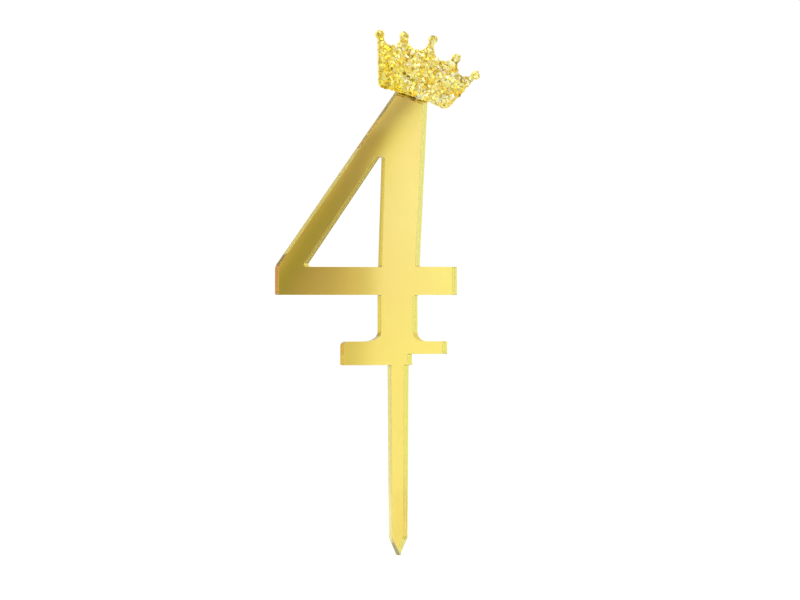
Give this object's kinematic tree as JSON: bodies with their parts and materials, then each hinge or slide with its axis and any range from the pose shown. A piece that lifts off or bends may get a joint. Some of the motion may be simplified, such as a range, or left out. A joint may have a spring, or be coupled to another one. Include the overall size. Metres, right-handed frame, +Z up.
{
  "type": "number cake topper",
  "caption": "Flat gold mirror acrylic numeral on a pointed stake, with a tilted glitter foam crown glued to its top.",
  "frame": {"origin": "where the stake's axis meets the cake's surface, level with the foot's underside and midway through the sheet", "axes": "+Z up along the stake, +X to the reader's right, the mirror front faces -Y"},
  "size_m": [0.0642, 0.0055, 0.1569],
  "materials": {
    "tinted_acrylic": "clear gold-tinted acrylic sheet, polished faces and laser-cut edges",
    "mirror_film": "bright metallised layer",
    "back_paint": "thin matt protective paint",
    "eva_foam": "soft matt foam sheet, die-cut edge",
    "glitter": "densely packed metallised film flakes",
    "clear_glue": "clear glossy set glue"
  },
  "bodies": {
    "root": {"number_plate": "tinted_acrylic", "mirror_film": "mirror_film", "back_coat": "back_paint", "crown_foam": "eva_foam", "crown_glitter": "glitter", "glue_dots": "clear_glue"}
  },
  "joints": []
}
